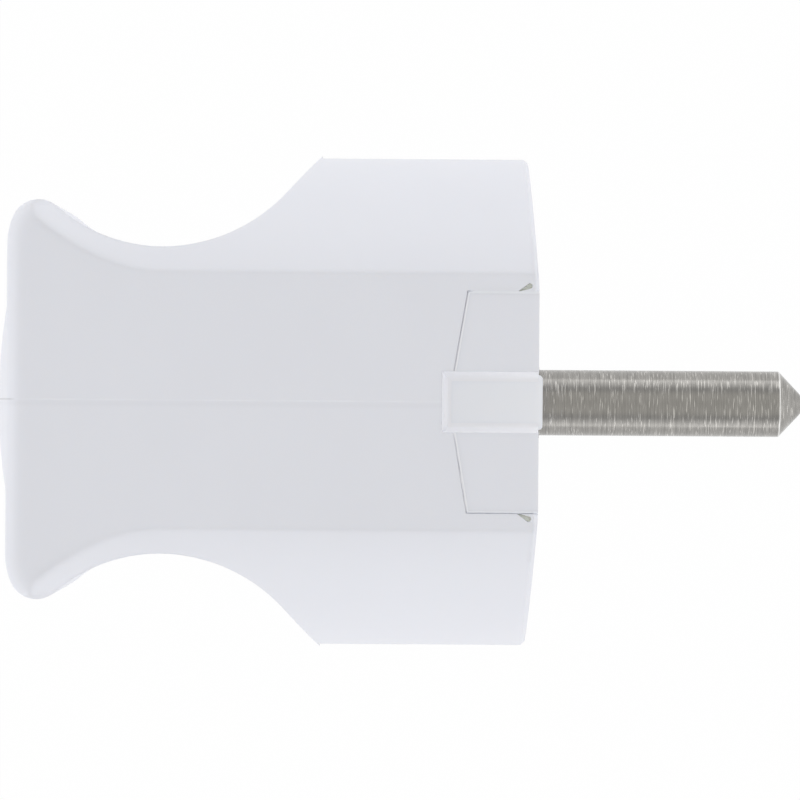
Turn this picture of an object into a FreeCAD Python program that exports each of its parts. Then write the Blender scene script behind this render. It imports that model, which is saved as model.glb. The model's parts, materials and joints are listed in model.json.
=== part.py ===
import FreeCAD, Part
import os
from math import asin, atan2, cos, hypot, radians, sin, sqrt, tan

# A rewirable type F mains plug, in millimetres.
# X runs along the contact pins, towards their tips. Z runs from pin to pin, and the plug
# lies on the flat side at -Z. The earth contacts are at +Y and -Y.
# The origin is on the plug's axis, in the plane that the length of the pins is taken from.

Vec = FreeCAD.Vector

# Contact pins
pin_diameter = 4.8
pin_length = 19.0
pin_spacing = 19.0
pin_cone_length = 1.6
pin_nose_diameter = 1.4
pin_collar_diameter = 5.2
pin_collar_sink = 0.15

# Engaging face and drum
face_setback = 0.3
face_half_width = 8.4
rim_lean = 4.1
rim_chamfer = 0.3
drum_radius = 18.5
drum_depth = 15.94
flat_margin = 6.5

# Neck and flared end of the grip
shoulder_slope = 49.5
neck_half = 11.14
neck_radius = 11.71
flare_half = 14.5
nose_radius = 2.0
rear_overhang = 0.27
rear_radius = 5.0
rear_dome_radius = 11.0
rear_dome_height = 1.4
grip_edge_round = 1.5
barrel_radius = 20.0

# Walls and clearances of the housing
wall = 2.0
rear_wall = 2.9
fit_gap = 0.1
thread_gap = 0.05
slide_gap = 0.15

# Cable entry
entry_radius = 4.5
entry_mouth = 0.4

# Ears of the carrier in the flat sides, with the guide groove
ear_half = 7.95
ear_depth = 5.4
ear_slant = 9.6
ear_chamfer = 0.12
groove_width = 4.42
groove_length = 7.3
groove_sink = 1.0
groove_draft = 0.22
tongue_margin = 0.7
land_round = 0.3
relief_tip = 1.95
relief_end = 1.0
relief_rise = 0.47
relief_radius = 0.19
relief_sink = 0.4

# Contact carrier
carrier_depth = 15.3
plate_thickness = 5.0
chamber_half = 6.2
chamber_wall = 1.3
core_out = 4.6
core_out_height = 4.6

# Terminals of the pins
head_size = 6.2
head_length = 5.0
screw_shank_radius = 1.5
screw_head_radius = 2.9
screw_head_height = 2.1
screw_reach = 4.0
head_slack = 0.5
clamp_plate = 1.0
clamp_lip = 0.7
clamp_lip_reach = 0.6
slot_width = 0.9
slot_depth = 1.1

# Earth bracket
strap_thickness = 0.8
strap_width = 7.0
strap_sink = 1.9
strap_bend = 1.0
hook_setback = 1.7
hook_reach = 3.0
channel_width = 8.6
earth_terminal_offset = 7.4
earth_clamp_size = 6.2
earth_nut_size = 5.5
earth_nut_thickness = 2.4

# Screw that holds carrier and housing together
fixing_radius = 2.0
fixing_head_radius = 3.5
fixing_head_height = 2.6
fixing_head_sink = 1.4
fixing_tail = 0.9
ring_radius = 3.6
ring_thickness = 0.8
nut_size = 7.0
nut_thickness = 3.2
post_front_wall = 2.1
post_rear_wall = 1.7
post_side_wall = 1.6
post_top_margin = 0.3

# Cable clamp
clamp_centre = 8.85
clamp_length = 5.6
clamp_end_gap = 2.6
clamp_screw_inset = 3.4
clamp_screw_radius = 1.5
clamp_head_radius = 2.75
clamp_head_height = 2.0
clamp_head_sink = 0.8
clamp_screw_tail = 0.6
saddle_half_gap = 3.0
cable_radius = 4.4
bar_bottom = 7.6
clamp_nut_size = 5.5
clamp_nut_thickness = 2.4

# Places that follow from the sizes above
slope = radians(shoulder_slope)
lean = radians(rim_lean)
above_drum = drum_radius + 2 * wall
neck_y = neck_half + neck_radius
slope_end_y = neck_y - neck_radius * cos(slope)
slope_end_x = -drum_depth - (drum_radius - slope_end_y) / tan(slope)
neck_x = slope_end_x - neck_radius * sin(slope)
nose_y = flare_half - nose_radius
nose_x = neck_x - sqrt((neck_radius + nose_radius) ** 2 - (neck_y - nose_y) ** 2)
rear_x = nose_x - nose_radius - rear_overhang
rear_round_y = nose_y - sqrt(rear_overhang * (2 * (rear_radius - nose_radius) - rear_overhang))
rear_inside_x = rear_x + rear_wall
dome_sphere = (rear_dome_radius ** 2 + rear_dome_height ** 2) / (2 * rear_dome_height)
dome_centre_x = rear_x - rear_dome_height + dome_sphere
entry_rim = entry_radius + entry_mouth
entry_rim_x = dome_centre_x - sqrt(dome_sphere ** 2 - entry_rim ** 2)
pin_z = pin_spacing / 2
half_flats = pin_z + flat_margin
inner_flat = half_flats - wall
core_radius = drum_radius - wall - slide_gap
core_flat = inner_flat - fit_gap
tongue_flat = half_flats - groove_sink
tongue_half = groove_width / 2 + tongue_margin
tongue_back_x = -groove_length - tongue_margin
plate_back_x = -face_setback - plate_thickness
carrier_back_x = -carrier_depth
head_back_x = plate_back_x - head_length
strap_outside = drum_radius - strap_sink
strap_seat = strap_outside - strap_thickness
bridge_back_x = carrier_back_x - strap_thickness
channel_root = strap_seat - strap_bend - wall
post_front_x = bridge_back_x - fit_gap
nut_front_x = post_front_x - post_front_wall
nut_pocket = nut_thickness + 2 * fit_gap
post_back_x = nut_front_x - nut_pocket - post_rear_wall
post_top = nut_size / 2 + post_top_margin
fixing_head_x = -face_setback - fixing_head_sink
fixing_seat_x = fixing_head_x - fixing_head_height
ring_seat_x = carrier_back_x + ring_thickness + 2 * fit_gap
fixing_end_x = nut_front_x - nut_pocket - fixing_tail
clamp_x = rear_x + clamp_centre
clamp_half_span = inner_flat - clamp_end_gap
clamp_screw_offset = clamp_half_span - clamp_screw_inset
neck_wall_y = neck_y - sqrt(neck_radius ** 2 - (clamp_x - neck_x) ** 2)
clamp_seat_y = neck_wall_y - clamp_head_sink - clamp_head_height
clamp_nut_top = -bar_bottom + clamp_nut_thickness
clamp_tip_y = -bar_bottom - clamp_screw_tail


def box(x0, x1, y0, y1, z0, z1):
    """A block between two opposite corners."""
    return Part.makeBox(x1 - x0, y1 - y0, z1 - z0, Vec(x0, y0, z0))


def rod(radius, x0, x1, y=0.0, z=0.0):
    """A cylinder along X."""
    return Part.makeCylinder(radius, x1 - x0, Vec(x0, y, z), Vec(1, 0, 0))


def upright_rod(radius, y0, y1, x, z):
    """A cylinder along Y."""
    return Part.makeCylinder(radius, y1 - y0, Vec(x, y0, z), Vec(0, 1, 0))


def toward(start, goal, distance):
    """The point at a distance from start, on the way to goal."""
    step = goal.sub(start)
    step.normalize()
    return start.add(step.multiply(distance))


def arc_about(centre, radius, start, end):
    """Three points of an arc about a centre, by way of its middle."""
    middle = toward(centre, start.add(end).multiply(0.5), radius)
    return start, middle, end


def edge(points):
    """A straight edge through two points, or an arc through three."""
    if len(points) == 2:
        return Part.LineSegment(*points).toShape()
    return Part.Arc(*points).toShape()


def mirrored_face(upper):
    """A face whose outline is symmetrical about the X axis, from its upper half."""
    lower = [tuple(Vec(p.x, -p.y, p.z) for p in reversed(run)) for run in reversed(upper)]
    return Part.Face(Part.Wire([edge(run) for run in upper + lower]))


def polygon(points, z):
    """A flat face at height z through corner points given as pairs."""
    corners = [Vec(x, y, z) for x, y in points]
    return Part.Face(Part.makePolygon(corners + corners[:1]))


def both_sides(face, half):
    """A face in the XY plane, extruded by the same distance up and down."""
    solid = face.extrude(Vec(0, 0, 2 * half))
    solid.translate(Vec(0, 0, -half))
    return solid


def revolved(profile):
    """A solid of revolution about X, from a closed list of runs in the XY plane."""
    face = Part.Face(Part.Wire([edge(run) for run in profile]))
    return face.revolve(Vec(0, 0, 0), Vec(1, 0, 0), 360)


def turned(points):
    """A turned solid about X, from corners given as pairs of X and radius."""
    face = polygon(points, 0)
    return face.revolve(Vec(0, 0, 0), Vec(1, 0, 0), 360)


def rounded_face(corners):
    """A flat face through corners given as X, Y and the radius that rounds the corner."""
    points = [Vec(x, y, 0) for x, y, r in corners]
    runs = []
    last = None
    for i, (x, y, radius) in enumerate(corners):
        here = points[i]
        before = points[i - 1]
        after = points[(i + 1) % len(points)]
        if radius == 0:
            start, end = here, here
        else:
            half = before.sub(here).getAngle(after.sub(here)) / 2
            start = toward(here, before, radius / tan(half))
            end = toward(here, after, radius / tan(half))
            centre = toward(here, start.add(end).multiply(0.5), radius / sin(half))
        if last is not None:
            runs.append((last, start))
        else:
            first = start
        if radius > 0:
            runs.append(arc_about(centre, radius, start, end))
        last = end
    runs.append((last, first))
    return Part.Face(Part.Wire([edge(run) for run in runs]))


def upside_down(shape):
    """The shape turned half a turn about the plug's axis."""
    copy = shape.copy()
    copy.rotate(Vec(0, 0, 0), Vec(1, 0, 0), 180)
    return copy


def merged(shapes):
    """One solid from several that touch or overlap."""
    return shapes[0].multiFuse(shapes[1:]).removeSplitter()


def front_outline():
    """Runs of the engaging face, from the axis out to above the drum."""
    axis = Vec(-face_setback, 0, 0)
    knee = Vec(-face_setback, face_half_width, 0)
    top = Vec(-face_setback - (above_drum - face_half_width) * tan(lean), above_drum, 0)
    return [(axis, knee), (knee, top)]


def housing_outline():
    """Upper half of the housing seen from the side: face, shoulder, concave neck and flare."""
    neck_centre = Vec(neck_x, neck_y, 0)
    nose_centre = Vec(nose_x, nose_y, 0)
    rear_centre = Vec(rear_x + rear_radius, rear_round_y, 0)
    shoulder_top = Vec(-drum_depth + (above_drum - drum_radius) / tan(slope), above_drum, 0)
    neck_start = Vec(slope_end_x, slope_end_y, 0)
    neck_end = toward(neck_centre, nose_centre, neck_radius)
    nose_end = toward(rear_centre, nose_centre, rear_radius)
    rear_start = Vec(rear_x, rear_round_y, 0)
    runs = front_outline()
    runs.append((runs[-1][1], shoulder_top))
    runs.append((shoulder_top, neck_start))
    runs.append(arc_about(neck_centre, neck_radius, neck_start, neck_end))
    runs.append(arc_about(nose_centre, nose_radius, neck_end, nose_end))
    runs.append(arc_about(rear_centre, rear_radius, nose_end, rear_start))
    runs.append((rear_start, Vec(rear_x, 0, 0)))
    return runs


def barrel():
    """The drum's cylinder, which widens behind the neck so that it clears the flared end."""
    front = Vec(face_setback, 0, 0)
    back_x = rear_x - wall
    turn = asin((neck_x - back_x) / barrel_radius)
    centre_y = drum_radius + barrel_radius
    arc = (
        Vec(neck_x, drum_radius, 0),
        Vec(neck_x - barrel_radius * sin(turn / 2), centre_y - barrel_radius * cos(turn / 2), 0),
        Vec(back_x, centre_y - barrel_radius * cos(turn), 0),
    )
    rim = Vec(front.x, drum_radius, 0)
    back = Vec(back_x, 0, 0)
    return revolved([(front, rim), (rim, arc[0]), arc, (arc[2], back), (back, front)])


def housing_body():
    """The outside of the housing, solid, with its rounded edges."""
    slab = both_sides(mirrored_face(housing_outline()), half_flats)
    grip_edges = [
        e for e in slab.Edges
        if abs(abs(e.CenterOfMass.z) - half_flats) < 1e-6 and abs(e.CenterOfMass.x - neck_x) < wall
    ]
    body = slab.makeFillet(grip_edge_round, grip_edges).common(barrel()).Solids[0]
    rim = [
        e for e in body.Edges
        if e.CenterOfMass.x > plate_back_x / 2 and hypot(e.CenterOfMass.y, e.CenterOfMass.z) > face_half_width
    ]
    return body.makeChamfer(rim_chamfer, rim)


def inner_form(inset):
    """The inside form of the housing, this far in from its outside and open at the front."""
    radius = neck_radius + inset
    back_x = rear_inside_x - wall + inset
    centre = Vec(neck_x, neck_y, 0)
    start = Vec(neck_x + radius * sin(slope), neck_y - radius * cos(slope), 0)
    end = Vec(back_x, neck_y - sqrt(radius ** 2 - (back_x - neck_x) ** 2), 0)
    top = Vec(start.x + (above_drum - start.y) / tan(slope), above_drum, 0)
    mouth = Vec(wall, above_drum, 0)
    runs = [
        (Vec(wall, 0, 0), mouth),
        (mouth, top),
        (top, start),
        arc_about(centre, radius, start, end),
        (end, Vec(back_x, 0, 0)),
    ]
    tube = rod(drum_radius - inset, rear_x, wall)
    return both_sides(mirrored_face(runs), half_flats - inset).common(tube)


def ear_outline(front, grow):
    """Corners of an ear seen on the flat side, larger by grow, from its front edge back."""
    half = ear_half + grow
    apex = ear_depth + ear_half * tan(radians(ear_slant)) + grow
    corner = ear_depth + grow
    return [(front, -half), (-corner, -half), (-apex, 0), (-corner, half), (front, half)]


def relief(side):
    """The drop-shaped recess beside one front corner of an ear."""
    heading = atan2(relief_rise, relief_tip - relief_end)
    reach = hypot(relief_rise, relief_tip - relief_end)
    swing = radians(90) + asin(relief_radius / reach)
    tip = Vec(-relief_tip, side * ear_half, half_flats)
    round_end = [
        Vec(
            -relief_end + relief_radius * cos(heading + turn),
            side * (ear_half + relief_rise + relief_radius * sin(heading + turn)),
            half_flats,
        )
        for turn in (swing, 0, -swing)
    ]
    runs = [(tip, round_end[0]), tuple(round_end), (round_end[2], tip)]
    face = Part.Face(Part.Wire([edge(run) for run in runs]))
    return face.extrude(Vec(0, 0, -relief_sink))


def groove():
    """The space of the guide groove above the tongue, with drafted sides and rear end."""
    draft = groove_draft / groove_sink
    wires = []
    for z in (tongue_flat, half_flats + wall):
        spread = draft * (z - half_flats)
        half = groove_width / 2 + spread
        back = -groove_length - spread
        wires.append(polygon([(back, -half), (wall, -half), (wall, half), (back, half)], z).OuterWire)
    return Part.makeLoft(wires, True, True)


def rear_dome():
    """The shallow dome of the rear face, which the cable goes in through."""
    sphere = Part.makeSphere(dome_sphere, Vec(dome_centre_x, 0, 0))
    return sphere.common(rod(rear_dome_radius, rear_x - wall, rear_inside_x))


def entry_bore():
    """The bore of the cable entry, with its chamfered mouth."""
    inside = rear_inside_x + wall
    return turned([
        (entry_rim_x - wall, 0),
        (entry_rim_x - wall, entry_rim),
        (entry_rim_x, entry_rim),
        (entry_rim_x + entry_mouth, entry_radius),
        (inside, entry_radius),
        (inside, 0),
    ])


def nut_post():
    """The post behind the carrier that holds the nut of the fixing screw."""
    half = nut_size / 2 + post_side_wall
    post = box(post_back_x, post_front_x, -above_drum, post_top, -half, half)
    return post.common(inner_form(wall / 2))


def clamp_saddle():
    """The fixed half of the cable clamp, hanging from the upper wall of the neck."""
    half = clamp_half_span + fit_gap
    x0 = clamp_x - clamp_length / 2
    x1 = clamp_x + clamp_length / 2
    block = box(x0, x1, saddle_half_gap, above_drum, -half, half).common(inner_form(wall / 2))
    return block.cut(rod(cable_radius, x0 - wall, x1 + wall))


def housing_shell():
    """The one-piece moulded housing, entered from the front by the carrier."""
    shell = housing_body().cut(inner_form(wall))
    shell = merged([shell, rear_dome(), nut_post(), clamp_saddle()])
    nut_half = nut_size / 2 + fit_gap
    tools = [
        entry_bore(),
        box(nut_front_x - nut_pocket, nut_front_x, -nut_half, above_drum / 2, -nut_half, nut_half),
        rod(fixing_radius + slide_gap, post_back_x - wall, post_front_x + wall),
    ]
    for side in (-1, 1):
        z = side * clamp_screw_offset
        tools.append(upright_rod(clamp_head_radius + slide_gap, clamp_seat_y, above_drum, clamp_x, z))
        tools.append(upright_rod(clamp_screw_radius + slide_gap, 0, above_drum, clamp_x, z))
        channel = box(post_front_x, wall, channel_root, above_drum, -channel_width / 2, channel_width / 2)
        tools.append(channel if side > 0 else upside_down(channel))
    notch = polygon(ear_outline(wall, fit_gap), inner_flat - wall / 2).extrude(Vec(0, 0, 2 * wall))
    slot_half = tongue_half + fit_gap
    slot_back_x = tongue_back_x - fit_gap
    tongue_slot = box(slot_back_x, wall, -slot_half, slot_half, inner_flat - wall / 2, tongue_flat + fit_gap)
    flat_tools = [notch, tongue_slot, groove(), relief(1), relief(-1)]
    tools += flat_tools + [upside_down(tool) for tool in flat_tools]
    return shell.cut(tools)


def contact_carrier():
    """The moulded carrier with its face, ears, terminal chambers and seats for the bracket."""
    runs = front_outline()
    back = Vec(carrier_back_x, above_drum, 0)
    runs.append((runs[-1][1], back))
    runs.append((back, Vec(carrier_back_x, 0, 0)))
    core = both_sides(mirrored_face(runs), core_flat).common(rod(core_radius, carrier_back_x - wall, wall))
    ear = polygon(ear_outline(-face_setback, 0), core_flat - wall / 2)
    ear = ear.extrude(Vec(0, 0, half_flats - core_flat + wall / 2))
    rims = [
        e for e in ear.Edges
        if abs(e.CenterOfMass.z - half_flats) < 1e-6 and e.CenterOfMass.x < -face_setback - fit_gap
    ]
    ear = ear.makeChamfer(ear_chamfer, rims).cut(groove())
    tongue = box(tongue_back_x, -face_setback, -tongue_half, tongue_half, core_flat - wall / 2, tongue_flat)
    land_half = groove_width / 2 - groove_draft
    land = box(-face_setback - wall / 2, 0, -land_half, land_half, -tongue_flat, tongue_flat)
    land = land.makeFillet(land_round, [e for e in land.Edges if e.Length > tongue_flat and e.CenterOfMass.x == 0])
    body = merged([core, ear, upside_down(ear), tongue, upside_down(tongue), land])

    beyond = carrier_back_x - wall
    hook_front = -hook_setback + fit_gap
    hook_back = -hook_setback - strap_thickness - fit_gap
    seat_half = strap_width / 2 + fit_gap
    head_half = head_size / 2 + fit_gap
    hook_root = strap_seat - hook_reach - fit_gap
    bend_root = strap_seat - strap_bend
    chamber_x = head_back_x + clamp_lip_reach + fit_gap
    core_out_y = chamber_half + chamber_wall
    half_turn_tools = [
        box(beyond, hook_front, strap_seat, above_drum, -seat_half, seat_half),
        box(hook_back, hook_front, hook_root, above_drum, -seat_half, seat_half),
        box(hook_back - strap_bend, hook_front, bend_root, above_drum, -seat_half, seat_half),
        box(beyond, carrier_back_x + strap_bend, bend_root, above_drum, -seat_half, seat_half),
        rod(pin_collar_diameter / 2 + thread_gap, beyond, wall, z=pin_z),
        box(beyond, plate_back_x, -head_half, head_half, pin_z - head_half, pin_z + head_half),
        box(beyond, chamber_x, -chamber_half, chamber_half, pin_z - head_half, pin_z + head_half),
    ]
    for side in (-1, 1):
        y = side * (core_out_y + core_out / 2)
        half_turn_tools.append(box(
            beyond, plate_back_x, y - core_out / 2, y + core_out / 2,
            core_out_height, core_out_height + core_out,
        ))
    nut_half = earth_nut_size / 2 + fit_gap
    nut_bottom_x = carrier_back_x + earth_nut_thickness + fit_gap
    shank_end_x = bridge_back_x + screw_reach + head_slack
    y = earth_terminal_offset
    tools = [
        rod(fixing_radius + slide_gap, beyond, wall),
        rod(fixing_head_radius + slide_gap, fixing_seat_x, wall),
        rod(ring_radius + slide_gap, beyond, ring_seat_x),
        box(beyond, nut_bottom_x, y - nut_half, y + nut_half, -nut_half, nut_half),
        rod(screw_shank_radius + slide_gap, beyond, shank_end_x, y=y),
    ]
    return body.cut(tools + half_turn_tools + [upside_down(tool) for tool in half_turn_tools])


def contact_pin():
    """A turned pin: square head, collar in the carrier, shank and cone."""
    radius = pin_diameter / 2
    collar = pin_collar_diameter / 2
    shank = turned([
        (head_back_x + head_length / 2, 0),
        (head_back_x + head_length / 2, collar),
        (-pin_collar_sink, collar),
        (-pin_collar_sink, radius),
        (pin_length - pin_cone_length, radius),
        (pin_length, pin_nose_diameter / 2),
        (pin_length, 0),
    ])
    half = head_size / 2
    head = box(head_back_x, plate_back_x, -half, half, -half, half)
    tapped = rod(screw_shank_radius + thread_gap, head_back_x - 1, head_back_x + screw_reach + head_slack)
    return merged([shank, head]).cut(tapped)


def slotted_screw(head_radius, head_height, shank_radius, length):
    """A slotted screw along X, its head behind the origin and its shank ahead of it."""
    screw = merged([rod(head_radius, -head_height, 0), rod(shank_radius, -head_height / 2, length)])
    half = slot_width / 2
    slot = box(-head_height - 1, slot_depth - head_height, -2 * head_radius, 2 * head_radius, -half, half)
    return screw.cut(slot)


def wire_clamp(width, length):
    """A clamp plate with a lip along two edges, its flat back at the origin."""
    across = width / 2 + fit_gap
    half = length / 2
    plate = box(-clamp_plate, 0, -across - clamp_lip, across + clamp_lip, -half, half)
    lips = [
        box(-clamp_plate, clamp_lip_reach, across, across + clamp_lip, -half, half),
        box(-clamp_plate, clamp_lip_reach, -across - clamp_lip, -across, -half, half),
    ]
    return merged([plate] + lips).cut(rod(screw_shank_radius + slide_gap, -wall, wall))


def square_nut(size, thickness, hole_radius):
    """A square nut with its rear face at the origin, pierced along X."""
    half = size / 2
    return box(0, thickness, -half, half, -half, half).cut(rod(hole_radius, -1, thickness + 1))


def earth_bracket():
    """The earth contacts and the bridge between them, bent from one strap."""
    front = -hook_setback
    hook_back = front - strap_thickness
    tip = strap_seat - hook_reach
    outer = strap_bend + strap_thickness
    upper = [
        (hook_back, tip, 0),
        (front, tip, 0),
        (front, strap_outside, outer),
        (bridge_back_x, strap_outside, outer),
    ]
    lower = [(x, -y, r) for x, y, r in reversed(upper)]
    inside = [
        (hook_back, -strap_seat, strap_bend),
        (carrier_back_x, -strap_seat, strap_bend),
        (carrier_back_x, strap_seat, strap_bend),
        (hook_back, strap_seat, strap_bend),
    ]
    strap = both_sides(rounded_face(upper + lower + inside), strap_width / 2)
    return strap.cut([
        rod(fixing_radius + slide_gap, bridge_back_x - 1, carrier_back_x + 1),
        rod(screw_shank_radius + slide_gap, bridge_back_x - 1, carrier_back_x + 1, y=earth_terminal_offset),
    ])


def cable_clamp_bar():
    """The moving half of the cable clamp, with its trough and its nut pockets."""
    x0 = clamp_x - clamp_length / 2
    x1 = clamp_x + clamp_length / 2
    bar = box(x0, x1, -bar_bottom, -saddle_half_gap, -clamp_half_span, clamp_half_span)
    half = clamp_nut_size / 2 + fit_gap
    tools = [rod(cable_radius, x0 - 1, x1 + 1)]
    for z in (-clamp_screw_offset, clamp_screw_offset):
        tools.append(upright_rod(clamp_screw_radius + slide_gap, -above_drum, 0, clamp_x, z))
        tools.append(box(clamp_x - half, clamp_x + half, -above_drum, clamp_nut_top, z - half, z + half))
    return bar.cut(tools)


def placed(shape, x, y=0.0, z=0.0):
    """A copy moved to its place."""
    copy = shape.copy()
    copy.translate(Vec(x, y, z))
    return copy


def hung(shape, y, z):
    """A copy that points along -Y, at the cable clamp."""
    copy = shape.copy()
    copy.rotate(Vec(0, 0, 0), Vec(0, 0, 1), -90)
    copy.translate(Vec(clamp_x, y, z))
    return copy


nodes = {
    "housing_shell": housing_shell(),
    "contact_carrier": contact_carrier(),
    "earth_bracket": earth_bracket(),
    "cable_clamp_bar": cable_clamp_bar(),
}

terminal_screw = slotted_screw(
    screw_head_radius, screw_head_height, screw_shank_radius, clamp_plate + screw_reach,
)
clamp_screw = slotted_screw(
    clamp_head_radius, clamp_head_height, clamp_screw_radius, clamp_seat_y - clamp_tip_y,
)
clamp_nut = square_nut(clamp_nut_size, clamp_nut_thickness, clamp_screw_radius + thread_gap)
for name, side in (("upper", 1), ("lower", -1)):
    z = side * pin_z
    nodes["contact_pin_" + name] = placed(contact_pin(), 0, z=z)
    nodes["wire_clamp_" + name] = placed(wire_clamp(head_size, head_size), head_back_x, z=z)
    nodes["terminal_screw_" + name] = placed(terminal_screw, head_back_x - clamp_plate, z=z)
    z = side * clamp_screw_offset
    nodes["cable_clamp_screw_" + name] = hung(clamp_screw, clamp_seat_y, z)
    nodes["cable_clamp_nut_" + name] = hung(clamp_nut, clamp_nut_top, z)

y = earth_terminal_offset
earth_nut = square_nut(earth_nut_size, earth_nut_thickness, screw_shank_radius + thread_gap)
earth_clamp = wire_clamp(strap_width, earth_clamp_size)
earth_clamp.rotate(Vec(0, 0, 0), Vec(1, 0, 0), 90)
nodes["earth_terminal_nut"] = placed(earth_nut, carrier_back_x, y)
nodes["earth_wire_clamp"] = placed(earth_clamp, bridge_back_x, y)
nodes["earth_terminal_screw"] = placed(terminal_screw, bridge_back_x - clamp_plate, y)

fixing_screw = slotted_screw(
    fixing_head_radius, fixing_head_height, fixing_radius, fixing_seat_x - fixing_end_x,
)
fixing_screw.rotate(Vec(0, 0, 0), Vec(0, 0, 1), 180)
ring = rod(ring_radius, 0, ring_thickness).cut(rod(fixing_radius + thread_gap, -1, ring_thickness + 1))
nodes["fixing_screw"] = placed(fixing_screw, fixing_seat_x)
nodes["screw_retaining_ring"] = placed(ring, ring_seat_x - ring_thickness)
fixing_nut = square_nut(nut_size, nut_thickness, fixing_radius + thread_gap)
nodes["fixing_nut"] = placed(fixing_nut, nut_front_x - nut_thickness)

os.makedirs("parts", exist_ok=True)
for name, shape in nodes.items():
    solids = shape.Solids
    print(name, "valid", shape.isValid(), "solids", len(solids), "volume", round(shape.Volume, 2))
    (solids[0] if len(solids) == 1 else shape).exportStep("parts/" + name + ".step")
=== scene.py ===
import json
from math import radians, tan

import bpy
import numpy as np
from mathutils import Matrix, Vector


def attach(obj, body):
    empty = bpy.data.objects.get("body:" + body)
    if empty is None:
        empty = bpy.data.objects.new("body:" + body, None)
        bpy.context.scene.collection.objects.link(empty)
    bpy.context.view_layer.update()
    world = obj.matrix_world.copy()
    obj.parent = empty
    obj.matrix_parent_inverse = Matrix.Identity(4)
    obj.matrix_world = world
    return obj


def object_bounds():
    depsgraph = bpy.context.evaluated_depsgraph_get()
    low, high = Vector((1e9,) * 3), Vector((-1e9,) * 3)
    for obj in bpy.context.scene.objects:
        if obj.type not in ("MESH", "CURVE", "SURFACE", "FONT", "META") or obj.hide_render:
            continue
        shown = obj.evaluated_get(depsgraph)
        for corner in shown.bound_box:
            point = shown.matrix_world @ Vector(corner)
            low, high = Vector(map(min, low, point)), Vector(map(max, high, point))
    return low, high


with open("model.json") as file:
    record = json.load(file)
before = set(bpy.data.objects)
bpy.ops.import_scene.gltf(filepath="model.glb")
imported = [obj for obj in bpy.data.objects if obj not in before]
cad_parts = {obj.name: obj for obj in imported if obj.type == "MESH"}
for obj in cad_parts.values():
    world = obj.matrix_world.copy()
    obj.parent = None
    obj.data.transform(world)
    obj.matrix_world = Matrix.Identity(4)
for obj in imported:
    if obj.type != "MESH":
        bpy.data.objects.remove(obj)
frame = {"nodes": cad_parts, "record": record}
cad_low, cad_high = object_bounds()
nodes = frame["nodes"]

# All lengths are in metres. The plug lies on its lower flat side, and the camera looks straight down.
MM = 0.001

# Words used in the names below:
# a GRAIN is how closely a noise is packed along each axis, and a BAND the part of its values in use;
# a SHARE makes a colour darker or paler, and a pair of SHARES gives its darkest and its palest tint;
# a RUN is where something changes along an axis, from its first place to its second;
# a FADE is full up to its first distance from a middle and gone at its second;
# a RELIEF is how high a bump stands, and a HEIGHT the share of it that one kind of mark has.

# The photograph's view
IMAGE_PIXELS = 800
PIXELS_PER_MM = 13.35
CAMERA_DISTANCE = 450 * MM
NEAREST_SEEN = 10 * MM
VIEW_CENTRE_X = -10.33 * MM
VIEW_CENTRE_Y = 0.12 * MM
VIEW_ROLL = radians(0.4)

# The ears of the carrier and the guide groove between them
EAR_HALF = 7.95 * MM
EAR_DEPTH = 5.4 * MM
EAR_SLANT = radians(9.6)
EAR_CHAMFER = 0.12 * MM
SEAM_GAP = 0.1 * MM
FACE_SETBACK = 0.32 * MM
GROOVE_HALF = 2.21 * MM
GROOVE_LENGTH = 7.3 * MM
GROOVE_SINK = 1.0 * MM

# Moulding flash over the seam round each ear, in sections along its path
FLASH_SINK = 0.001 * MM
FLASH_REACH = 0.03 * MM
FLASH_INSIDE = 0.08 * MM
FLASH_FOOT = 0.5 * MM
FLASH_STEPS = 60
OPEN_SEAM = 0.13 * MM
CLOSED_SEAM = 0.001 * MM

# Where along the path the seam starts to change at the ear's corner, and over how much of the path
CORNER_PLACE = 0.47
CORNER_BLEND = 0.03

# How far a broken seam is open: a middle with waves of a size, a rate and a start, and the least of it
BREAK_MIDDLE = 0.5
BREAK_WAVES = ((0.3, 17, 0), (0.3, 41, 1))
BREAK_LEAST = 0.1

# Rounding at the foot of the groove's walls
FOOT_WIDTH = 0.7 * MM
FOOT_CURVE = 3.2
FOOT_STEPS = 14
FOOT_BEHIND = 0.03 * MM
FOOT_DEPTH = 0.5 * MM

# Edges steeper than this are shaded as edges on the pieces made here
SHARP_ANGLE = radians(40)

# How much fine detail a noise has
MUCH_DETAIL = 3.0
SOME_DETAIL = 2.0
LITTLE_DETAIL = 1.0

# The part of a noise that makes roughness change
GLOSS_BAND = (0.3, 0.7)

# Finish of the mouldings
PLASTIC_COLOUR = (0.832, 0.846, 0.91)
PLASTIC_ROUGHNESS = (0.39, 0.46)
PLASTIC_IOR = 1.5
PLASTIC_TRANSLUCENCY = 0.15
TRANSLUCENT_TINT = (1.0, 0.9, 0.8)
TRANSLUCENT_DEPTH = 0.6 * MM
FLOW_GRAIN = (180, 120, 120)
FLOW_SHARES = (0.985, 1.012)
MOULD_GRAIN = (2600, 2600, 2600)
MOULD_GRAIN_HEIGHT = 0.1
MOULD_RELIEF = 0.03 * MM

# How far edges look rounded: everywhere, between flat and drum, and at the flared rear end
EDGE_SOFTNESS = 0.07 * MM
DRUM_SOFTNESS = 0.8 * MM
FLARE_SOFTNESS = 1.6 * MM
SOFTNESS_SAMPLES = 8
DRUM_EDGE_RUN = (8.6 * MM, 8.9 * MM)
DRUM_EDGE_FADE = (1.4 * MM, 2.0 * MM)
FLARE_RUN = (-36 * MM, -28 * MM)

# The flat of the carrier, which meets the seam flash and so has no softened edges
LEVEL_FADE = (0.05 * MM, 0.1 * MM)

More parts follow.
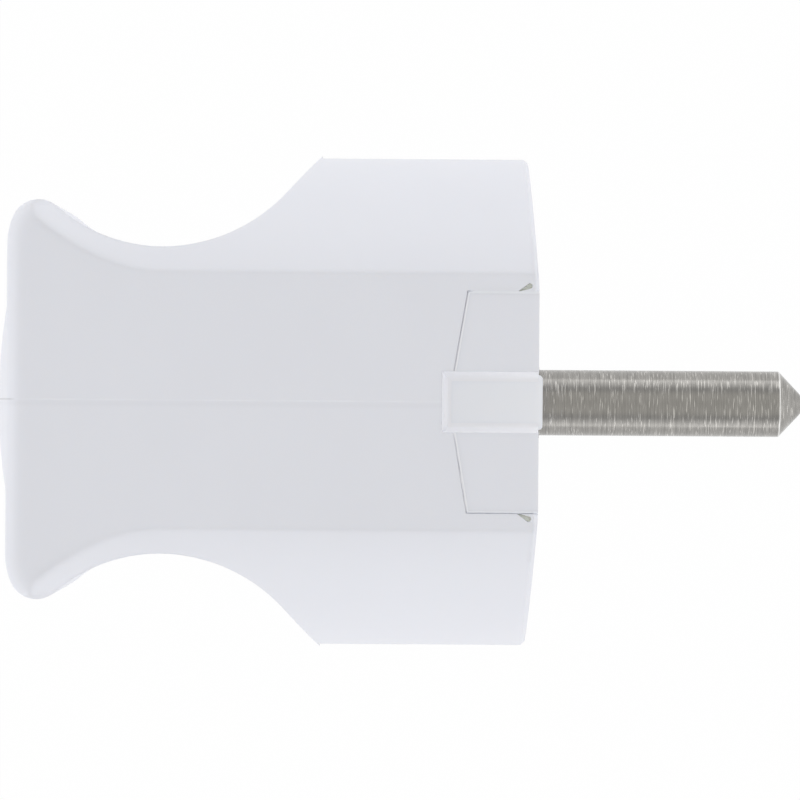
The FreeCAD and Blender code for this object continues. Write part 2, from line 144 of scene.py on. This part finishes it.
# The parting line, raised and painted paler as a highlight, the painted shade of a small step below it,
# and its worn end at the rear
LINE_FADE = (0.0, 0.1 * MM)
LINE_GRAIN = (300, 1, 300)
LINE_BAND = (0.42, 0.58)
LINE_LEAST = 0.2
LINE_HIGHLIGHT_SHARE = 1.05
LINE_HEIGHT = 0.35
BENEATH_MIDDLE = -0.28 * MM
BENEATH_FADE = (0.05 * MM, 0.28 * MM)
BENEATH_SHADE_SHARE = 0.975
WORN_RUN = (-38.6 * MM, -38.1 * MM)
WORN_FADE = (0.03 * MM, 0.09 * MM)
WORN_SHARE = 0.8

# The drop-shaped recesses: where their floors are along, beside and above the axis
RECESS_MIDDLE = (-1.25 * MM, 8.35 * MM, 15.6 * MM)
RECESS_FADES = ((0.8 * MM, 0.85 * MM), (0.4 * MM, 0.5 * MM), (0.06 * MM, 0.1 * MM))
# A yellowish tint for the recess floors, painted paler than the plastic as light against the recess's
# shade
RECESS_PAINTED_LIGHT_COLOUR = (0.95, 0.97, 0.88)

# The strip of the hood along the closed seam, painted paler as a highlight and without softened edges
CLOSED_RUN = (-EAR_DEPTH - 0.1 * MM, -EAR_DEPTH + 0.2 * MM)
CLOSED_FADE = (0.1 * MM, 0.14 * MM)
CLOSED_LEVEL_FADE = (0.1 * MM, 0.2 * MM)
CLOSED_HIGHLIGHT_SHARE = 1.03

# Painted light: a paler colour on the floor of the groove and on the flash
PAINTED_LIGHT_COLOUR = (0.905, 0.925, 0.985)
PALE_GRAIN = (400, 400, 400)
PALE_SHARES = (0.99, 1.01)
GROOVE_SIDE_FADE = (GROOVE_HALF - 0.05 * MM, GROOVE_HALF)
GROOVE_FLOOR_FADE = (0.1 * MM, 0.15 * MM)

# Painted highlights: the palest colour, on the rounding in the groove and on the flash along the ears'
# slanted edges
PAINTED_HIGHLIGHT_COLOUR = (0.95, 0.955, 1.0)
FOOT_FADE = (GROOVE_HALF + 0.04 * MM, GROOVE_HALF + 0.08 * MM)
SLANTED_RUN = (-EAR_DEPTH - 0.1 * MM, -EAR_DEPTH)

# Finish of the pins
NICKEL_COLOUR = (0.335, 0.325, 0.308)
NICKEL_SHARES = (0.8, 1.14)
NICKEL_ROUGHNESS = (0.17, 0.25)
NICKEL_RELIEF = 0.009 * MM
NICKEL_SOFTNESS = 0.1 * MM
RING_GRAIN = (14000, 260, 260)
RING_NOISE_ROUGHNESS = 0.6
RING_BAND = (0.35, 0.65)
SCRATCH_GRAIN = (17000, 900, 900)
SCRATCH_PLACE = (3, 7, 1)
SCRATCH_TURN = (0, 0, radians(5))
SCRATCH_BAND = (0.61, 0.69)
SCRATCH_SHARE = 1.9
SCRATCH_HEIGHT = 0.6
WEAR_GRAIN = (160, 500, 500)
# A painted highlight on the ridge of the pin's shoulder, where the tip begins
PIN_SHOULDER_X = 17.4 * MM
SHOULDER_HIGHLIGHT_FADE = (0.02 * MM, 0.08 * MM)
SHOULDER_HIGHLIGHT_COLOUR = (0.78, 0.77, 0.75)

# Finish of the strips, screws and nuts
STRIP_COLOUR = (0.60, 0.59, 0.565)
STRIP_SHARES = (0.85, 1.12)
STRIP_ROUGHNESS = (0.26, 0.42)
ROLLING_GRAIN = (300, 300, 9000)
RUB_GRAIN = (700, 700, 700)
ZINC_COLOUR = (0.58, 0.58, 0.575)
ZINC_SHARES = (0.85, 1.1)
ZINC_ROUGHNESS = (0.3, 0.45)
ZINC_GRAIN = (6000, 6000, 6000)
CLOUD_GRAIN = (900, 900, 900)
METAL_RELIEF = 0.01 * MM

# Light: how bright the tent is at each height, from 0 at the horizon to 1 overhead
TENT_LIGHT = (
    (0.0, 1.74), (0.15, 1.44), (0.32, 1.09), (0.45, 0.91), (0.54, 0.66),
    (0.66, 0.61), (0.82, 0.8), (0.92, 0.84), (1.0, 0.76),
)
BRIGHTEST = 2.0
CEILING_HEIGHT = 0.7
CEILING_TINT = (1.0, 0.99, 0.955)
WHITE = (1.0, 1.0, 1.0)

# The floor, and how much of it glows white: where it only lights the plug, and where it is seen
FLOOR_COLOUR = (0.93, 0.93, 0.93)
FLOOR_ROUGHNESS = 0.9
FLOOR_SIZE = 3.0
GLOW_RANGE = (0.5, 0.985)


def made_material(name):
    """A new material, with its node tree and its Principled shader."""
    material = bpy.data.materials.new(name)
    material.use_nodes = True
    tree = material.node_tree
    return material, tree, tree.nodes["Principled BSDF"]


def math_node(tree, operation, *values):
    """The output of a Math node on sockets or plain numbers."""
    node = tree.nodes.new("ShaderNodeMath")
    node.operation = operation
    for socket, value in zip(node.inputs, values):
        if isinstance(value, (int, float)):
            socket.default_value = value
        else:
            tree.links.new(value, socket)
    return node.outputs[0]


def object_point(tree, scale=(1, 1, 1), place=(0, 0, 0), turn=(0, 0, 0)):
    """Object coordinates, stretched by a scale along each axis, turned and moved."""
    where = tree.nodes.new("ShaderNodeTexCoord")
    mapping = tree.nodes.new("ShaderNodeMapping")
    for name, value in (("Scale", scale), ("Location", place), ("Rotation", turn)):
        mapping.inputs[name].default_value = value
    tree.links.new(where.outputs["Object"], mapping.inputs["Vector"])
    return mapping.outputs[0]


def noise(tree, point, detail, roughness=0.5):
    """A noise whose grain is set by the scale of its point."""
    node = tree.nodes.new("ShaderNodeTexNoise")
    for name, value in (("Scale", 1.0), ("Detail", detail), ("Roughness", roughness)):
        node.inputs[name].default_value = value
    tree.links.new(point, node.inputs["Vector"])
    return node.outputs[0]


def ranged(tree, value, run, ends=(0.0, 1.0)):
    """A value carried from the range of a run to that of its ends, which it doesn't pass."""
    node = tree.nodes.new("ShaderNodeMapRange")
    tree.links.new(value, node.inputs["Value"])
    for name, number in zip(("From Min", "From Max", "To Min", "To Max"), (*run, *ends)):
        node.inputs[name].default_value = number
    return node.outputs[0]


def near(tree, value, middle, fade):
    """1 close to a middle, falling to 0 over a fade."""
    away = math_node(tree, "ABSOLUTE", math_node(tree, "SUBTRACT", value, middle))
    return ranged(tree, away, fade, (1.0, 0.0))


def all_of(tree, *shares):
    """The product of several shares."""
    product = shares[0]
    for share in shares[1:]:
        product = math_node(tree, "MULTIPLY", product, share)
    return product


def shaded(colour, share):
    """A colour made darker or lighter by a share of itself."""
    return tuple(min(1.0, part * share) for part in colour)


def mixed_colour(tree, share, first, second):
    """A blend by a share of two colours, each one plain or a socket."""
    node = tree.nodes.new("ShaderNodeMix")
    node.data_type = "RGBA"
    tree.links.new(share, node.inputs["Factor"])
    colour_sockets = [socket for socket in node.inputs if socket.type == "RGBA"]
    for socket, colour in zip(colour_sockets, (first, second)):
        if isinstance(colour, tuple):
            socket.default_value = (*colour, 1)
        else:
            tree.links.new(colour, socket)
    return next(socket for socket in node.outputs if socket.type == "RGBA")


def varied(tree, share, colour, shares):
    """A colour that goes from its darkest tint to its palest by a share."""
    return mixed_colour(tree, share, shaded(colour, shares[0]), shaded(colour, shares[1]))


def bumped(tree, shader, height, distance, softness=None):
    """Bump on a shader from a height field between 0 and 1.

    The softness is how far the edges look rounded, as a number or a socket. Without it they stay sharp.
    """
    node = tree.nodes.new("ShaderNodeBump")
    node.inputs["Distance"].default_value = distance
    if softness is not None:
        bevel = tree.nodes.new("ShaderNodeBevel")
        bevel.samples = SOFTNESS_SAMPLES
        if isinstance(softness, float):
            bevel.inputs["Radius"].default_value = softness
        else:
            tree.links.new(softness, bevel.inputs["Radius"])
        tree.links.new(bevel.outputs[0], node.inputs["Normal"])
    tree.links.new(height, node.inputs["Height"])
    tree.links.new(node.outputs[0], shader.inputs["Normal"])


def moulded_plastic(name):
    """White thermoset from a polished mould: faint flow shading, a soft gloss and a fine grain.

    Returns the material with its tree, shader, tint and height field, for what is added to them.
    """
    material, tree, shader = made_material(name)
    flow = noise(tree, object_point(tree, FLOW_GRAIN), MUCH_DETAIL)
    tint = varied(tree, flow, PLASTIC_COLOUR, FLOW_SHARES)
    grain = noise(tree, object_point(tree, MOULD_GRAIN), SOME_DETAIL)
    tree.links.new(ranged(tree, flow, GLOSS_BAND, PLASTIC_ROUGHNESS), shader.inputs["Roughness"])
    shader.inputs["IOR"].default_value = PLASTIC_IOR
    shader.inputs["Subsurface Weight"].default_value = PLASTIC_TRANSLUCENCY
    shader.inputs["Subsurface Radius"].default_value = TRANSLUCENT_TINT
    shader.inputs["Subsurface Scale"].default_value = TRANSLUCENT_DEPTH
    return material, tree, shader, tint, math_node(tree, "MULTIPLY", grain, MOULD_GRAIN_HEIGHT)


def finished(tree, shader, tint, height, softness=None):
    """Gives a moulding's shader its colour, its relief and the softness of its edges."""
    tree.links.new(tint, shader.inputs["Base Color"])
    bumped(tree, shader, height, MOULD_RELIEF, softness)


def separated(tree):
    """The X, Y and Z of Object coordinates."""
    place = tree.nodes.new("ShaderNodeSeparateXYZ")
    tree.links.new(object_point(tree), place.inputs[0])
    return place.outputs["X"], place.outputs["Y"], place.outputs["Z"]


def softness_outside(tree, share):
    """The usual softness of the edges, falling to none where a share is 1."""
    return math_node(tree, "MULTIPLY", math_node(tree, "SUBTRACT", 1.0, share), EDGE_SOFTNESS)


def hood_plastic(name):
    """The hood's moulding.

    It has a raised parting line along its middle, painted paler as a highlight, with painted shade below
    it, darker where it ends at the rear. The floors of the drop-shaped recesses have a yellowish tint,
    painted paler than the plastic as light against the recess's shade, and the edge along the closed seam
    is painted paler as a highlight.
    The edges between flat and drum look well rounded, most of all towards the flared end.
    """
    material, tree, shader, tint, height = moulded_plastic(name)
    x, y, z = separated(tree)
    beside = math_node(tree, "ABSOLUTE", y)
    up = math_node(tree, "ABSOLUTE", z)

    patches = noise(tree, object_point(tree, LINE_GRAIN), MUCH_DETAIL)
    uneven = ranged(tree, patches, LINE_BAND, (LINE_LEAST, 1.0))
    line = all_of(tree, near(tree, y, 0.0, LINE_FADE), uneven)
    # The line's paler colour is a painted highlight on its ridge
    tint = mixed_colour(tree, line, tint, shaded(PLASTIC_COLOUR, LINE_HIGHLIGHT_SHARE))
    # Painted shade below the line, where a small step between the mould halves would shade the flat
    painted_step_shade = near(tree, y, BENEATH_MIDDLE, BENEATH_FADE)
    tint = mixed_colour(tree, painted_step_shade, tint, shaded(PLASTIC_COLOUR, BENEATH_SHADE_SHARE))
    height = math_node(tree, "ADD", height, math_node(tree, "MULTIPLY", line, LINE_HEIGHT))
    worn = all_of(tree, ranged(tree, x, WORN_RUN, (1.0, 0.0)), near(tree, y, 0.0, WORN_FADE))
    tint = mixed_colour(tree, worn, tint, shaded(PLASTIC_COLOUR, WORN_SHARE))

    axes = zip((x, beside, up), RECESS_MIDDLE, RECESS_FADES)
    recessed = all_of(tree, *(near(tree, place, middle, fade) for place, middle, fade in axes))
    # The recess floors get a yellowish tint, painted paler than the plastic as light against their shade
    tint = mixed_colour(tree, recessed, tint, RECESS_PAINTED_LIGHT_COLOUR)

    closed = all_of(
        tree,
        near(tree, y, EAR_HALF + SEAM_GAP, CLOSED_FADE),
        near(tree, up, cad_high.z, CLOSED_LEVEL_FADE),
        ranged(tree, x, CLOSED_RUN),
    )
    # A painted highlight: the strip along the closed seam is paler
    tint = mixed_colour(tree, closed, tint, shaded(PLASTIC_COLOUR, CLOSED_HIGHLIGHT_SHARE))

    drum_edge = all_of(
        tree,
        ranged(tree, beside, DRUM_EDGE_RUN),
        near(tree, up, cad_high.z, DRUM_EDGE_FADE),
    )
    rounding = ranged(tree, x, FLARE_RUN, (FLARE_SOFTNESS, DRUM_SOFTNESS))
    rounded = math_node(tree, "MULTIPLY", drum_edge, rounding)
    softness = math_node(tree, "MAXIMUM", rounded, softness_outside(tree, closed))
    finished(tree, shader, tint, height, softness)
    return material


def carrier_plastic(name):
    """The carrier's moulding, with painted light making the floor of the guide groove paler."""
    material, tree, shader, tint, height = moulded_plastic(name)
    _, y, z = separated(tree)
    up = math_node(tree, "ABSOLUTE", z)
    # Painted light on the floor of the guide groove, lifting it against the groove's shade
    painted_light = all_of(
        tree,
        near(tree, y, 0.0, GROOVE_SIDE_FADE),
        near(tree, up, cad_high.z - GROOVE_SINK, GROOVE_FLOOR_FADE),
    )
    tint = mixed_colour(tree, painted_light, tint, PAINTED_LIGHT_COLOUR)
    level = near(tree, up, cad_high.z, LEVEL_FADE)
    finished(tree, shader, tint, height, softness_outside(tree, level))
    return material


def flash_plastic(name):
    """Thin flash and roundings of the carrier, painted paler as light, with painted highlights on the
    rounding in the groove and on the flash along the ears' slanted edges. Their edges aren't softened.
    """
    material, tree, shader, _, height = moulded_plastic(name)
    x, y, _ = separated(tree)
    cloud = noise(tree, object_point(tree, PALE_GRAIN), SOME_DETAIL)
    foot = near(tree, y, 0.0, FOOT_FADE)
    slanted = ranged(tree, x, SLANTED_RUN, (1.0, 0.0))
    painted_highlight = math_node(tree, "MAXIMUM", foot, slanted)
    # The pale colour is painted light, and the palest one painted highlights on the groove's rounding and
    # the slanted flash
    tint = mixed_colour(tree, painted_highlight, varied(tree, cloud, PAINTED_LIGHT_COLOUR, PALE_SHARES), PAINTED_HIGHLIGHT_COLOUR)
    finished(tree, shader, tint, height)
    return material


def turned_nickel(name):
    """Nickel-plated brass off a lathe: faint rings, short bright scratches round the shank, and a painted
    highlight on the shoulder's ridge.
    """
    material, tree, shader = made_material(name)
    shader.inputs["Metallic"].default_value = 1.0
    rings = noise(tree, object_point(tree, RING_GRAIN), MUCH_DETAIL, RING_NOISE_ROUGHNESS)
    across = object_point(tree, SCRATCH_GRAIN, SCRATCH_PLACE, SCRATCH_TURN)
    scratches = ranged(tree, noise(tree, across, LITTLE_DETAIL), SCRATCH_BAND)
    wear = noise(tree, object_point(tree, WEAR_GRAIN), SOME_DETAIL)
    colour = varied(tree, ranged(tree, rings, RING_BAND), NICKEL_COLOUR, NICKEL_SHARES)
    colour = mixed_colour(tree, scratches, colour, shaded(NICKEL_COLOUR, SCRATCH_SHARE))
    # A painted highlight along the ridge of the shoulder
    shoulder_highlight = near(tree, separated(tree)[0], PIN_SHOULDER_X, SHOULDER_HIGHLIGHT_FADE)
    colour = mixed_colour(tree, shoulder_highlight, colour, SHOULDER_HIGHLIGHT_COLOUR)
    tree.links.new(colour, shader.inputs["Base Color"])
    tree.links.new(ranged(tree, wear, GLOSS_BAND, NICKEL_ROUGHNESS), shader.inputs["Roughness"])
    height = math_node(tree, "ADD", rings, math_node(tree, "MULTIPLY", scratches, SCRATCH_HEIGHT))
    bumped(tree, shader, height, NICKEL_RELIEF, NICKEL_SOFTNESS)
    return material


def patched_metal(name, colour, shares, roughness, patch_grain):
    """Plated metal whose tint and gloss change in patches, with its tree and its shader."""
    material, tree, shader = made_material(name)
    shader.inputs["Metallic"].default_value = 1.0
    patches = noise(tree, object_point(tree, patch_grain), MUCH_DETAIL)
    tree.links.new(varied(tree, patches, colour, shares), shader.inputs["Base Color"])
    tree.links.new(ranged(tree, patches, GLOSS_BAND, roughness), shader.inputs["Roughness"])
    return material, tree, shader


def rolled_strip(name, colour):
    """Plated sheet with fine lines along the rolling direction and a few rubs."""
    material, tree, shader = patched_metal(name, colour, STRIP_SHARES, STRIP_ROUGHNESS, RUB_GRAIN)
    lines = noise(tree, object_point(tree, ROLLING_GRAIN), MUCH_DETAIL)
    bumped(tree, shader, lines, METAL_RELIEF)
    return material


def plated_steel(name, colour):
    """Zinc-plated steel, slightly cloudy."""
    material, tree, shader = patched_metal(name, colour, ZINC_SHARES, ZINC_ROUGHNESS, CLOUD_GRAIN)
    grain = noise(tree, object_point(tree, ZINC_GRAIN), SOME_DETAIL)
    bumped(tree, shader, grain, METAL_RELIEF)
    return material


def carried(path, section):
    """A closed solid from a section carried along a path in the XY plane, mitred at its corners.

    Each point of the path moves to the right of its direction by a section point's first number and takes
    the second as its height. section has one row of such points for each point of the path.
    """
    runs = np.diff(path, axis=0)
    runs /= np.linalg.norm(runs, axis=1)[:, None]
    before = np.vstack([runs[:1], runs])
    after = np.vstack([runs, runs[-1:]])
    outward = np.stack([(before + after)[:, 1], -(before + after)[:, 0]], axis=1)
    outward /= (outward * np.stack([after[:, 1], -after[:, 0]], axis=1)).sum(axis=1)[:, None]
    plan = path[:, None, :] + section[..., :1] * outward[:, None, :]
    points = np.concatenate([plan, section[..., 1:]], axis=2)
    count = section.shape[1]
    ring = np.arange(count)
    start = count * np.arange(len(path) - 1)[:, None]
    ahead = start + count
    turned = np.roll(ring, -1)
    walls = np.stack([start + ring, ahead + ring, ahead + turned, start + turned], axis=2)
    last = count * (len(path) - 1)
    faces = walls.reshape(-1, 4).tolist() + [ring.tolist(), (last + ring[::-1]).tolist()]
    return points.reshape(-1, 3), faces


def on_both_flats(name, solids, plain=()):
    """One piece of the carrier from solids on the upper flat, repeated upside down on the lower one.

    All solids have as many faces. Those whose place in a solid's list is in plain have the carrier's own
    finish, the others the paler one with painted light.
    """
    points, faces, count = [], [], 0
    for solid, solid_faces in solids:
        for up in (1, -1):
            points.append(solid * (1, 1, up))
            faces += [[count + i for i in face[::up]] for face in solid_faces]
            count += len(solid)
    mesh = bpy.data.meshes.new(name)
    mesh.from_pydata(np.vstack(points).tolist(), [], faces)
    mesh.shade_smooth()
    mesh.set_sharp_from_angle(angle=SHARP_ANGLE)
    mesh.materials.append(FINISHES["flash_plastic"])
    mesh.materials.append(FINISHES["carrier_plastic"])
    place = np.arange(len(faces)) % len(solids[0][1])
    mesh.polygons.foreach_set("material_index", np.isin(place, plain).astype(np.int32))
    piece = bpy.data.objects.new(name, mesh)
    bpy.context.scene.collection.objects.link(piece)
    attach(piece, "root")


def along_path(corners, steps):
    """Points along the straight runs between corners, and the share of the way at each point.

    steps is how many points a run has.
    """
    share = np.linspace(0, 1, steps, endpoint=False)[:, None]
    runs = [start + share * (end - start) for start, end in zip(corners, corners[1:])]
    path = np.vstack(runs + [corners[-1:]])
    return path, np.linspace(0, 1, len(path))


def add_seam_flash():
    """Flash over the seam round both ears.

    It covers the ear's chamfer just under the flat and reaches a little into the seam. The rest of the
    seam is filled up to the depth of a closed or an open one. Behind the lower ear that depth changes
    along the seam as a sum of two sine waves, so that it closes in places.
    """
    end = EAR_DEPTH + (EAR_HALF - GROOVE_HALF) * tan(EAR_SLANT)
    corners = np.array([(-FACE_SETBACK, EAR_HALF), (-EAR_DEPTH, EAR_HALF), (-end, GROOVE_HALF)])
    path, share = along_path(corners, FLASH_STEPS)
    past_corner = np.clip((share - CORNER_PLACE) / CORNER_BLEND, 0, 1)
    waves = sum(size * np.sin(rate * share + start) for size, rate, start in BREAK_WAVES)
    broken = np.clip(BREAK_MIDDLE + waves, BREAK_LEAST, 1)
    flat = cad_high.z
    solids = []
    # The side, and how far the seam is open beside the ear and behind it, from 0 to 1
    for side, beside, behind in ((1, 0, 1), (-1, 1, broken)):
        openness = beside * (1 - past_corner) + behind * past_corner
        fill = flat - CLOSED_SEAM - (OPEN_SEAM - CLOSED_SEAM) * openness
        lip = flat - FLASH_SINK
        foot = flat - FLASH_FOOT
        profile = (
            (-EAR_CHAMFER, foot), (SEAM_GAP, foot), (SEAM_GAP, fill), (FLASH_REACH, fill),
            (FLASH_REACH, lip), (-FLASH_INSIDE, lip), (-EAR_CHAMFER, lip),
        )
        section = np.empty((len(path), len(profile), 2))
        for i, (out, level) in enumerate(profile):
            section[:, i, 0] = out
            section[:, i, 1] = level
        solid, faces = carried(path, section)
        solids.append((solid * (1, side, 1), [face[::side] for face in faces]))
    # In each step along the path, the wall between the last two points of the profile
    over_chamfer = len(profile) - 2 + len(profile) * np.arange(len(path) - 1)
    on_both_flats("seam_flash", solids, over_chamfer)


def add_groove_foot():
    """The rounding along the foot of the groove's walls.

    Inward from the wall's edge the height over the floor falls as a power of what is left of the
    rounding's width.
    """
    corners = np.array([
        (-FACE_SETBACK, GROOVE_HALF), (-GROOVE_LENGTH, GROOVE_HALF),
        (-GROOVE_LENGTH, -GROOVE_HALF), (-FACE_SETBACK, -GROOVE_HALF),
    ])
    floor = cad_high.z - GROOVE_SINK
    share = np.linspace(0, 1, FOOT_STEPS)
    height = floor + (GROOVE_SINK - FLASH_SINK) * (1 - share) ** FOOT_CURVE
    curve = np.stack([-FOOT_WIDTH * share, height], axis=1)
    foot = floor - FOOT_DEPTH
    hidden = np.array([(-FOOT_WIDTH, foot), (FOOT_BEHIND, foot), (FOOT_BEHIND, curve[0, 1])])
    profile = np.vstack([curve, hidden])
    section = np.repeat(profile[None], len(corners), axis=0)
    on_both_flats("groove_foot", [carried(corners, section)])


def blended(tree, share, first, second, output):
    """Sends a blend by a share of two shaders to an output node."""
    blend = tree.nodes.new("ShaderNodeMixShader")
    for source, socket in zip((share, first.outputs[0], second.outputs[0]), blend.inputs):
        tree.links.new(source, socket)
    tree.links.new(blend.outputs[0], tree.nodes[output].inputs["Surface"])


def set_floor():
    """The pale floor that the plug lies on, which glows most where it is seen.

    That is straight, in metal or through glass. Elsewhere it only lights the plug.
    """
    bpy.ops.mesh.primitive_plane_add(size=FLOOR_SIZE, location=(0, 0, cad_low.z))
    floor = bpy.context.object
    floor.name = "floor"
    material, tree, shader = made_material("pale_floor")
    shader.inputs["Base Color"].default_value = (*FLOOR_COLOUR, 1)
    shader.inputs["Roughness"].default_value = FLOOR_ROUGHNESS
    ray = tree.nodes.new("ShaderNodeLightPath")
    seen = math_node(tree, "MAXIMUM", ray.outputs["Is Camera Ray"], ray.outputs["Is Glossy Ray"])
    seen = math_node(tree, "MAXIMUM", seen, ray.outputs["Is Transmission Ray"])
    glow = tree.nodes.new("ShaderNodeEmission")
    blended(tree, ranged(tree, seen, (0.0, 1.0), GLOW_RANGE), shader, glow, "Material Output")
    floor.data.materials.append(material)


def set_light():
    """A soft tent of light, brightest low round the sides, with a slightly warm ceiling.

    The background is white where the camera sees it.
    """
    world = bpy.data.worlds.new("studio")
    bpy.context.scene.world = world
    world.use_nodes = True
    tree = world.node_tree
    direction = tree.nodes.new("ShaderNodeTexCoord")
    split = tree.nodes.new("ShaderNodeSeparateXYZ")
    tree.links.new(direction.outputs["Generated"], split.inputs[0])
    ramp = tree.nodes.new("ShaderNodeValToRGB")
    tree.links.new(split.outputs["Z"], ramp.inputs[0])
    stops = ramp.color_ramp.elements
    for height, _ in TENT_LIGHT[len(stops):]:
        stops.new(height)
    for stop, (height, light) in zip(stops, TENT_LIGHT):
        tint = CEILING_TINT if height > CEILING_HEIGHT else WHITE
        stop.position = height
        stop.color = (*shaded(tint, light / BRIGHTEST), 1)
    lit = tree.nodes["Background"]
    tree.links.new(ramp.outputs[0], lit.inputs["Color"])
    lit.inputs["Strength"].default_value = BRIGHTEST
    shown = tree.nodes.new("ShaderNodeBackground")
    shown.inputs["Color"].default_value = (*WHITE, 1)
    ray = tree.nodes.new("ShaderNodeLightPath")
    blended(tree, ray.outputs["Is Camera Ray"], lit, shown, "World Output")


def set_camera():
    """The camera straight above, turned by the small roll of the photograph."""
    camera = bpy.data.cameras.new("camera")
    field = IMAGE_PIXELS / PIXELS_PER_MM * MM
    camera.lens = camera.sensor_width * CAMERA_DISTANCE / field
    camera.clip_start = NEAREST_SEEN
    holder = bpy.data.objects.new("camera", camera)
    bpy.context.scene.collection.objects.link(holder)
    holder.location = (VIEW_CENTRE_X, VIEW_CENTRE_Y, CAMERA_DISTANCE)
    holder.rotation_euler = (0, 0, VIEW_ROLL)
    bpy.context.scene.camera = holder


FINISHES = {
    "hood_plastic": hood_plastic("hood_plastic"),
    "carrier_plastic": carrier_plastic("carrier_plastic"),
    "flash_plastic": flash_plastic("flash_plastic"),
    "pin_metal": turned_nickel("pin_metal"),
    "earth_strip": rolled_strip("earth_strip", STRIP_COLOUR),
    "screw_steel": plated_steel("screw_steel", ZINC_COLOUR),
    "clamp_steel": rolled_strip("clamp_steel", ZINC_COLOUR),
}

for part in frame["record"]["subparts"]:
    mesh = nodes[part["node"]].data
    mesh.materials.clear()
    mesh.materials.append(FINISHES[part["material_slot"]])

add_seam_flash()
add_groove_foot()
set_floor()
set_light()
set_camera()
bpy.context.scene.view_settings.view_transform = "Standard"
